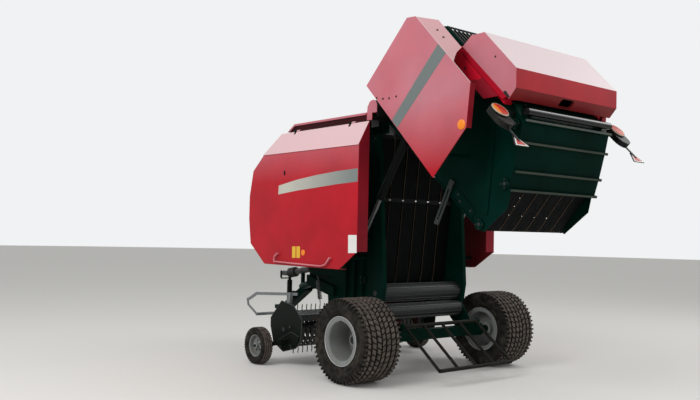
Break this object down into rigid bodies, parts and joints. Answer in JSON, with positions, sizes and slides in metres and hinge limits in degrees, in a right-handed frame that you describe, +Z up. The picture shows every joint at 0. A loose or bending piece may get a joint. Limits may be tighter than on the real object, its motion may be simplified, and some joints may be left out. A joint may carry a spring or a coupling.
{
  "type": "round baler",
  "caption": "Trailed round baler with raised tailgate, net box, tined pickup, belts and rollers, on two flotation wheels, gauge wheels and a drawbar jack.",
  "frame": {"origin": "on the ground under the middle of the machine's length and width, with the tailgate raised", "axes": "+X to the machine's left, +Y to its rear, +Z up"},
  "size_m": [2.67, 4.985, 3.6189],
  "materials": {
    "red_paint": "gloss crimson paint",
    "green_paint": "semi-gloss very dark green paint",
    "black_paint": "semi-gloss black paint",
    "silver_paint": "silver wheel paint",
    "tyre_rubber": "dusty black rubber",
    "belt_rubber": "matt textured belting",
    "worn_steel": "bare steel polished by crop",
    "chrome_rod": "polished chrome",
    "shaft_guard": "yellow moulded guard",
    "black_plastic": "moulded black plastic"
  },
  "bodies": {
    "chassis": {"side_wall_left": "green_paint", "side_wall_right": "green_paint", "axle": "green_paint", "drawbar": "green_paint", "jack": "black_paint", "gearbox": "black_paint", "driveline": "shaft_guard", "cross_frame": "green_paint", "hood": "red_paint", "front_belts": "belt_rubber", "front_rollers": "worn_steel"},
    "shield_left": {"front_shield_left": "red_paint"},
    "shield_right": {"front_shield_right": "red_paint"},
    "starter": {"starter_roller": "worn_steel"},
    "floor": {"floor_roller": "worn_steel"},
    "rotor": {"feed_rotor": "green_paint"},
    "tailgate": {"gate_wall_left": "green_paint", "gate_wall_right": "green_paint", "gate_rear_wall": "green_paint", "bumper_bar": "black_paint", "gate_shield_left": "red_paint", "gate_shield_right": "red_paint", "gate_top_grille": "black_paint", "gate_belts": "belt_rubber", "gate_rollers": "worn_steel", "net_box_base": "red_paint", "lamp_left": "black_plastic", "lamp_right": "black_plastic", "latch_left": "worn_steel", "latch_right": "worn_steel"},
    "lid": {"net_lid": "red_paint"},
    "barrel_left": {"cylinder_left": "black_paint"},
    "barrel_right": {"cylinder_right": "black_paint"},
    "piston_left": {"rod_left": "chrome_rod"},
    "piston_right": {"rod_right": "chrome_rod"},
    "wheel_left": {"tyre_left": "tyre_rubber", "rim_left": "silver_paint"},
    "wheel_right": {"tyre_right": "tyre_rubber", "rim_right": "silver_paint"},
    "gauge_left": {"gauge_tyre_left": "tyre_rubber", "gauge_rim_left": "silver_paint"},
    "gauge_right": {"gauge_tyre_right": "tyre_rubber", "gauge_rim_right": "silver_paint"},
    "pickup": {"pickup_frame": "black_paint", "pickup_bands": "worn_steel", "wind_guard": "worn_steel"},
    "reel": {"pickup_reel": "worn_steel"},
    "ramp": {"bale_ramp": "black_paint"}
  },
  "joints": [
    {"name": "tailgate_hinge", "type": "hinge", "parent": "chassis", "child": "tailgate", "pos_m": [0, 0.40943, 2.723], "axis": [1, 0, 0], "range_deg": [-45, 0]},
    {"name": "net_lid_hinge", "type": "hinge", "parent": "tailgate", "child": "lid", "pos_m": [0, 1.65748, 3.29646], "axis": [1, 0, 0], "range_deg": [0, 70]},
    {"name": "shield_left_hinge", "type": "hinge", "parent": "chassis", "child": "shield_left", "pos_m": [0.927, -0.28257, 2.7], "axis": [0, -1, 0], "range_deg": [0, 70]},
    {"name": "barrel_left_pivot", "type": "hinge", "parent": "tailgate", "child": "barrel_left", "pos_m": [0.7, 0.99704, 2.7831], "axis": [1, 0, 0], "range_deg": [-1, 40.02]},
    {"name": "piston_left_slide", "type": "slide", "parent": "barrel_left", "child": "piston_left", "axis": [0, -0.5284, -0.849], "range_m": [-0.432, 0.002]},
    {"name": "wheel_left_spin", "type": "hinge", "parent": "chassis", "child": "wheel_left", "pos_m": [1.055, 0.51743, 0.433], "axis": [1, 0, 0], "continuous": true},
    {"name": "gauge_left_spin", "type": "hinge", "parent": "pickup", "child": "gauge_left", "pos_m": [1.265, -0.98257, 0.21], "axis": [1, 0, 0], "continuous": true},
    {"name": "shield_right_hinge", "type": "hinge", "parent": "chassis", "child": "shield_right", "pos_m": [-0.927, -0.28257, 2.7], "axis": [0, 1, 0], "range_deg": [0, 70]},
    {"name": "barrel_right_pivot", "type": "hinge", "parent": "tailgate", "child": "barrel_right", "pos_m": [-0.7, 0.99704, 2.7831], "axis": [1, 0, 0], "range_deg": [-1, 40.02]},
    {"name": "piston_right_slide", "type": "slide", "parent": "barrel_right", "child": "piston_right", "axis": [0, -0.5284, -0.849], "range_m": [-0.432, 0.002]},
    {"name": "wheel_right_spin", "type": "hinge", "parent": "chassis", "child": "wheel_right", "pos_m": [-1.055, 0.51743, 0.433], "axis": [1, 0, 0], "continuous": true},
    {"name": "gauge_right_spin", "type": "hinge", "parent": "pickup", "child": "gauge_right", "pos_m": [-1.265, -0.98257, 0.21], "axis": [1, 0, 0], "continuous": true},
    {"name": "pickup_lift", "type": "hinge", "parent": "chassis", "child": "pickup", "pos_m": [0, -0.48257, 0.64], "axis": [-1, 0, 0], "range_deg": [0, 12]},
    {"name": "pickup_reel_spin", "type": "hinge", "parent": "pickup", "child": "reel", "pos_m": [0, -0.78257, 0.4], "axis": [1, 0, 0], "continuous": true},
    {"name": "starter_spin", "type": "hinge", "parent": "chassis", "child": "starter", "pos_m": [0, 0.32743, 0.88], "axis": [1, 0, 0], "continuous": true},
    {"name": "floor_spin", "type": "hinge", "parent": "chassis", "child": "floor", "pos_m": [0, 0.37743, 0.68], "axis": [1, 0, 0], "continuous": true},
    {"name": "rotor_spin", "type": "hinge", "parent": "chassis", "child": "rotor", "pos_m": [0, -0.20257, 0.64], "axis": [1, 0, 0], "continuous": true},
    {"name": "ramp_lift", "type": "hinge", "parent": "chassis", "child": "ramp", "pos_m": [0, 0.69743, 0.56], "axis": [1, 0, 0], "range_deg": [0, 35]}
  ],
  "couplings": [
    {"joint": "barrel_left_pivot", "follows": "tailgate_hinge", "ratio": -0.8671},
    {"joint": "piston_left_slide", "follows": "tailgate_hinge", "m_per_rad": 0.54747},
    {"joint": "barrel_right_pivot", "follows": "tailgate_hinge", "ratio": -0.8671},
    {"joint": "piston_right_slide", "follows": "tailgate_hinge", "m_per_rad": 0.54747}
  ]
}
